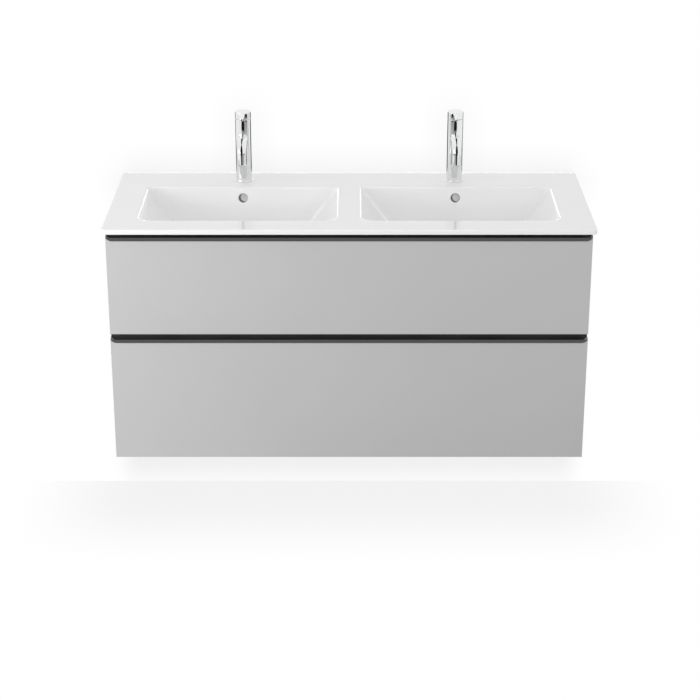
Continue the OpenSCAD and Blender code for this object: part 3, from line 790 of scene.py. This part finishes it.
def wall_strength(tree, x, y, z):
    """White wall with painted shade under the cabinet, inside it and close to what touches the wall."""
    side = math_node(tree, "ABSOLUTE", x)
    under = smooth(tree, z, -0.955, -0.875, 0.055, 0.125)
    under = math_node(tree, "MULTIPLY", under, smooth(tree, z, -0.80, -0.62, 1.0, 0.0))
    under = math_node(tree, "MULTIPLY", under, smooth(tree, side, 0.64, 0.73, 1.0, 0.0))
    near = tree.nodes.new("ShaderNodeAmbientOcclusion")
    near.samples = 12
    near.inputs["Distance"].default_value = 0.10
    touch = math_node(tree, "MULTIPLY", math_node(tree, "SUBTRACT", 1.0, near.outputs["AO"]), 0.17)
    above = math_node(tree, "MULTIPLY", touch, smooth(tree, z, -0.05, 0.03, 0.35, 1.0))
    inside = smooth(tree, side, 0.615, 0.635, 0.45, 0.0)
    inside = math_node(tree, "MULTIPLY", inside, smooth(tree, z, -0.60, -0.56, 0.0, 1.0))
    inside = math_node(tree, "MULTIPLY", inside, smooth(tree, z, -0.01, 0.02, 1.0, 0.0))
    shade = math_node(tree, "ADD", math_node(tree, "ADD", under, above), inside)
    return math_node(tree, "SUBTRACT", 1.0, shade)



def level(x, y, z):
    """Corners of a level rectangle that faces up, from its x and y ranges."""
    return [(x[0], y[0], z), (x[1], y[0], z), (x[1], y[1], z), (x[0], y[1], z)]


def upright(x, y, z):
    """Corners of an upright rectangle that faces forward, from its x and z ranges."""
    return [(x[0], y, z[0]), (x[1], y, z[0]), (x[1], y, z[1]), (x[0], y, z[1])]


floor = pane("floor", level((-6, 6), (-6, WALL_Y), FLOOR_Z), one_sided("pale_floor", floor_strength))
wall = pane("wall", upright((-6, 6), WALL_Y, (FLOOR_Z, 4)), one_sided("pale_wall", wall_strength))
for obj in (floor, wall):
    hide_from(obj, "diffuse", "glossy", "transmission", "shadow")

# Light from the floor is weaker in front of the right half, so the lower front darkens towards its foot
dim_floor = pane("dim_floor", level((-0.25, 2.0), (-1.35, 0.0), FLOOR_Z),
                 one_sided("dim_floor", lambda tree, x, y, z: 0.42))
hide_from(dim_floor, "camera", "glossy", "transmission", "shadow")

# Cards that only reflections see. The stripe and grey cards lie flat just over the washbasin and face up, so
# only what the taps reflect downward meets them
CARD_UP = 0.010
GREY_UP = 0.008


def card(name, corners, material, at=(0, 0, 0)):
    obj = pane(name, corners, material)
    obj.location = at
    hide_from(obj, "camera", "diffuse", "transmission", "shadow", "volume_scatter")


def half_round(sign):
    """Grey that brightens with the angle from the front, on the side towards the other tap."""
    def strength(tree, x, y, z):
        inward = math_node(tree, "MULTIPLY", x, -float(sign))
        angle = math_node(tree, "ARCTAN2", inward, math_node(tree, "MULTIPLY", y, -1.0))
        inner = smooth(tree, angle, 0.30, 1.40, 0.34, 1.0)
        outer = smooth(tree, angle, -0.30, 0.0, 0.95, 0.0)
        return math_node(tree, "MAXIMUM", inner, outer)
    return strength


dark_card = one_sided("dark_card", lambda tree, x, y, z: 0.012)
dim_card = one_sided("dim_card", lambda tree, x, y, z: 0.10)
# Outlines as (half width, distance along the card), from the tap's axis and the washbasin's top: the stripe
# lies in front of the tap, the hood stands before the spout and the roof is a narrow strip close over its elbow
STRIPE = [(0.040, -0.270), (0.056, -0.345), (0.085, -0.420), (0.200, -0.500), (0.200, -0.640)]
HOOD = [(0.024, 0.088), (0.040, 0.120), (0.046, 0.300)]
HOOD_Y = -0.180
ROOF = [(0.004, -0.120), (0.007, -0.035)]
ROOF_Z = 0.160
GREY_REACH = 1.2
GREY_NEAR = -0.26


def band(outline):
    """Both edges of a symmetric card, left edge first."""
    return [(-x, along) for x, along in outline] + [(x, along) for x, along in reversed(outline)]


for sign, side in ((-1, "left"), (1, "right")):
    at = (sign * tap_axis.x, tap_axis.y, deck_z)
    half = sorted((-sign * tap_axis.x, sign * GREY_REACH))
    card(f"stripe_card_{side}", [(x, y, CARD_UP) for x, y in band(STRIPE)], dark_card, at)
    card(f"grey_card_{side}", level(half, (-GREY_REACH, GREY_NEAR), GREY_UP),
         one_sided(f"grey_card_{side}", half_round(sign)), at)
    card(f"hood_card_{side}", [(x, HOOD_Y, z) for x, z in band(HOOD)], dark_card, at)
    card(f"roof_card_{side}", [(x, y, ROOF_Z) for x, y in band(ROOF)], dark_card, at)
# Behind the wall, for the dark lines down the sides of the taps
card("outline_card", upright((-2.6, 2.6), 2.0, (-4.0, -0.25)), dim_card)

# ---- Light ----

# How bright the sky looks, and how strongly it lights
SKY_SEEN = 1.0
SKY_LIGHT = 0.755
world = bpy.data.worlds.new("studio")
scene.world = world
world.use_nodes = True
world.node_tree.nodes.clear()
ray = world.node_tree.nodes.new("ShaderNodeLightPath")
glow_of = world.node_tree.nodes.new("ShaderNodeMapRange")
glow_of.inputs["To Min"].default_value = SKY_SEEN
glow_of.inputs["To Max"].default_value = SKY_LIGHT
sky = world.node_tree.nodes.new("ShaderNodeBackground")
sky.inputs["Color"].default_value = WHITE
out = world.node_tree.nodes.new("ShaderNodeOutputWorld")
world.node_tree.links.new(ray.outputs["Is Diffuse Ray"], glow_of.inputs["Value"])
world.node_tree.links.new(glow_of.outputs["Result"], sky.inputs["Strength"])
world.node_tree.links.new(sky.outputs[0], out.inputs["Surface"])


def area(name, place, target, size, power):
    data = bpy.data.lights.new(name, "AREA")
    data.shape = "RECTANGLE"
    data.size, data.size_y = size
    data.energy = power
    lamp = bpy.data.objects.new(name, data)
    scene.collection.objects.link(lamp)
    lamp.location = place
    lamp.rotation_euler = (Vector(target) - Vector(place)).to_track_quat("-Z", "Y").to_euler()
    return lamp


area("side", (-1.6, -1.3, 0.1), (-0.3, -0.48, -0.2), (0.8, 0.8), 8.6)
area("high", (0.1, -3.4, 2.2), (0.0, -0.48, -0.1), (1.0, 1.0), 11.0)
area("left", (-3.0, -1.2, 0.5), (0, -0.4, -0.2), (1.2, 1.2), 6.2)

# Soft boxes that only the glaze reflects: they draw the lines along the bowls' rims and creases
glazed = bpy.data.collections.new("glazed")
glazed.objects.link(basin)


def soft_box(name, place, target, size, glow):
    lamp = area(name, place, target, size, glow * math.pi * size[0] * size[1])
    lamp.light_linking.receiver_collection = glazed
    hide_from(lamp, "camera", "diffuse", "transmission", "volume_scatter")


soft_box("rim_back", (0.0, 3.0, 0.51), (0.0, 0.0, 0.51), (2.3, 0.3), 6.0)
soft_box("rim_top", (0.0, 0.0, 2.6), (0.0, 0.0, 0.0), (4.8, 0.7), 1.8)
for sign, side in ((-1, "left"), (1, "right")):
    soft_box(f"crease_{side}", (sign * 3.0, -0.1, 1.9), (0.0, -0.1, 1.9), (1.2, 1.0), 4.0)

scene.view_settings.view_transform = "Standard"
scene.view_settings.look = "None"
